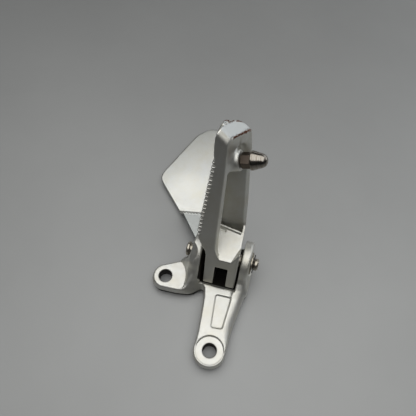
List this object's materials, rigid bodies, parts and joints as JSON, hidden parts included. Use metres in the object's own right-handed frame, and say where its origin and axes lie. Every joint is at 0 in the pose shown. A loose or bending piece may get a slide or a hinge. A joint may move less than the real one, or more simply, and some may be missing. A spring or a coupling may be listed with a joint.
{
  "type": "motorcycle foot peg assembly",
  "caption": "Folding rider foot peg on a forged clevis bracket, with a serrated tread, return spring, steel bank feeler and sheet heel guard.",
  "frame": {"origin": "centre of the bounding box at the mounting faces' level, which is the surface it lies on", "axes": "+X along the pivot pin towards the E-clip, +Y the way the peg folds, +Z the outward normal of the mounting faces"},
  "size_m": [0.0874, 0.1826, 0.1166],
  "materials": {
    "cast_aluminium": "bead-blasted satin, bright",
    "forged_peg": "satin, scuffed at the outer end",
    "sheet_aluminium": "satin anodised sheet",
    "zinc_steel": "bright zinc plated, slightly worn",
    "spring_steel": "dark oiled spring steel",
    "polished_steel": "polished"
  },
  "bodies": {
    "bracket": {"mounting_bracket": "cast_aluminium", "heel_guard": "sheet_aluminium", "heel_guard_screw_front": "zinc_steel", "heel_guard_screw_rear": "zinc_steel", "pivot_pin": "zinc_steel", "pin_eclip": "spring_steel", "clip_washer": "zinc_steel", "thrust_washer_left": "zinc_steel", "thrust_washer_right": "zinc_steel", "return_spring": "spring_steel"},
    "peg": {"foot_peg": "forged_peg", "bank_feeler": "polished_steel"}
  },
  "joints": [
    {"name": "peg_fold", "type": "hinge", "parent": "bracket", "child": "peg", "pos_m": [0.0191, -0.02165, 0.0167], "axis": [-1, 0, 0], "range_deg": [0, 48], "stiffness_Nm_per_rad": 0.35, "springref_deg": -57.3}
  ]
}
